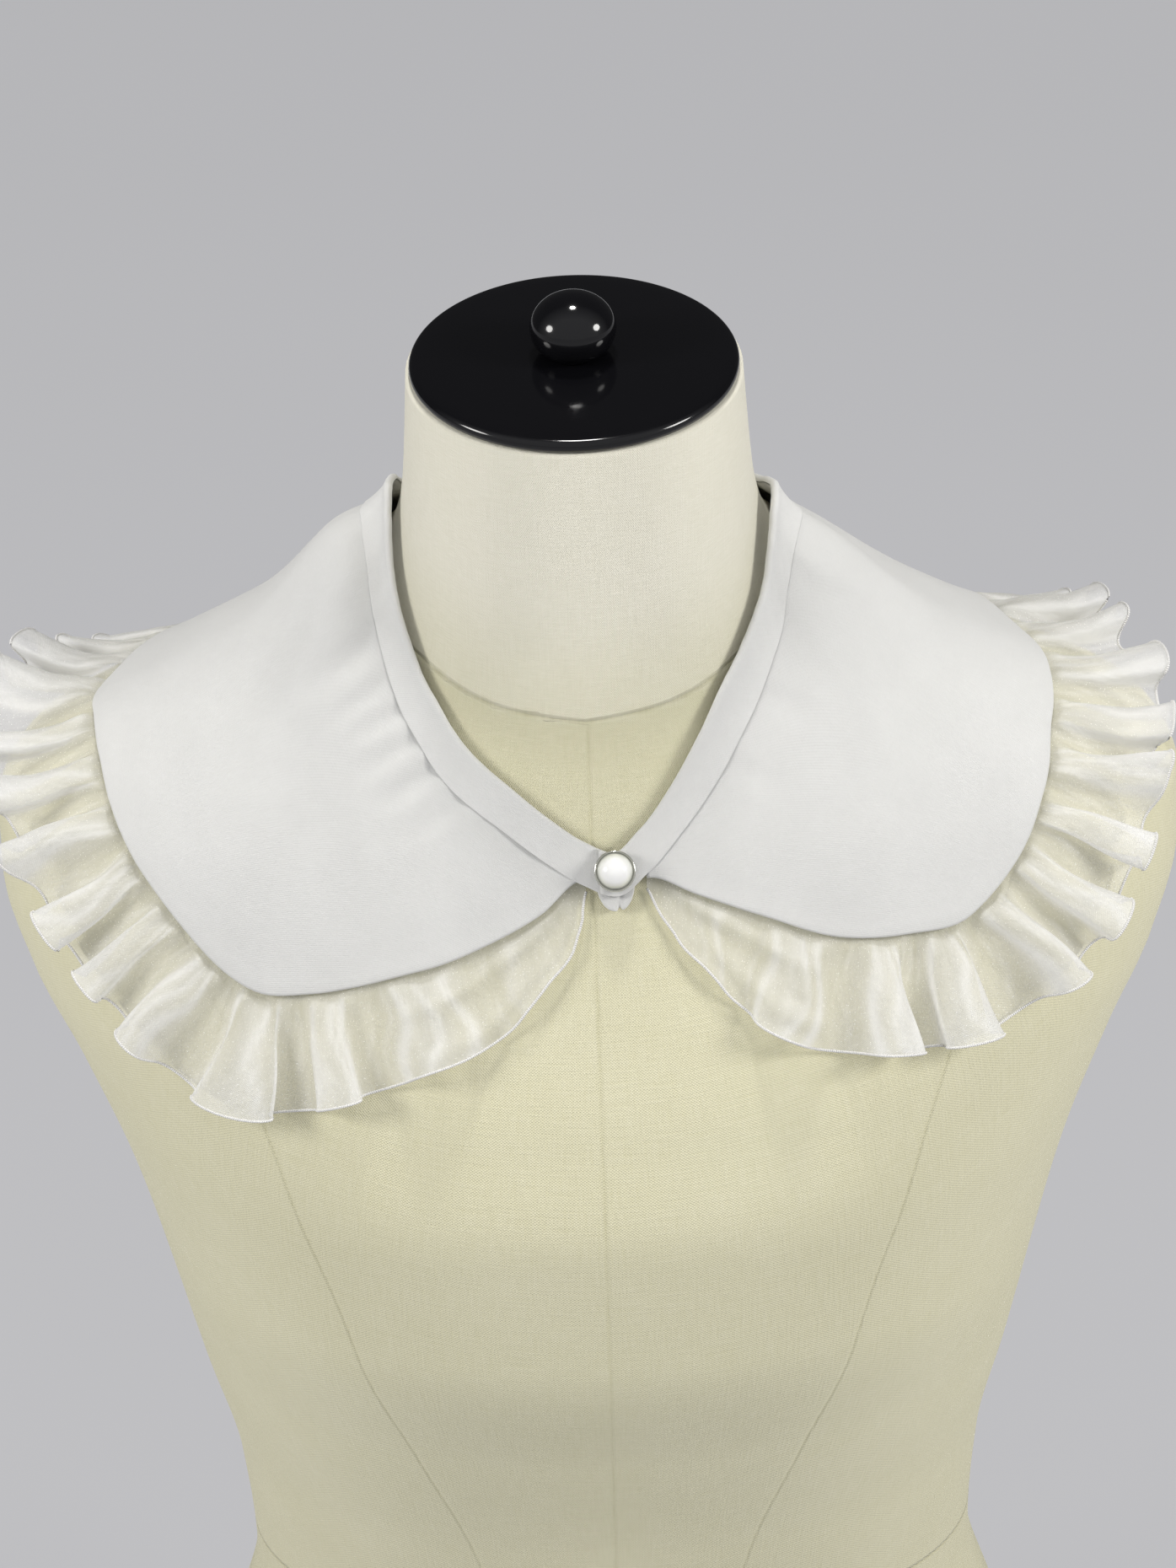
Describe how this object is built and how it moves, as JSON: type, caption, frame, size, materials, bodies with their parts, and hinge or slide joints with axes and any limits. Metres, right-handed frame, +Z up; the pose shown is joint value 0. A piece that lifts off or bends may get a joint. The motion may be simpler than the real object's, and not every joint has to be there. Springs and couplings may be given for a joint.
{
  "type": "detachable shirt collar on a dress form",
  "caption": "White detachable shirt collar with a neck band, a pearl button and a gathered organza ruffle round its edge, worn by a limbless linen dress form that stands on a flat board.",
  "frame": {"origin": "on the ground under the middle of the dress form, on the flat underside of its base board", "axes": "+X to the right as the front is looked at, +Y to the back, +Z up"},
  "size_m": [0.4073, 0.251, 0.6763],
  "materials": {
    "cream_linen": "plain-woven linen cover, matte",
    "beech_board": "plain sanded board",
    "black_lacquer": "polished black",
    "white_cotton": "smooth woven shirt cotton, two turned layers",
    "white_binding": "smooth woven shirt cotton, folded strip",
    "white_organza": "sheer crisp organza, gathered, with a narrow corded hem",
    "silver_metal": "polished metal setting",
    "pearl": "glossy imitation pearl"
  },
  "bodies": {
    "root": {"form_body": "cream_linen", "form_base": "beech_board", "form_neck_cap": "black_lacquer", "form_knob": "black_lacquer", "collar_body": "white_cotton", "neck_binding": "white_binding", "button_tab": "white_binding", "button_rim": "silver_metal", "button_pearl": "pearl", "ruffle": "white_organza"}
  },
  "joints": []
}
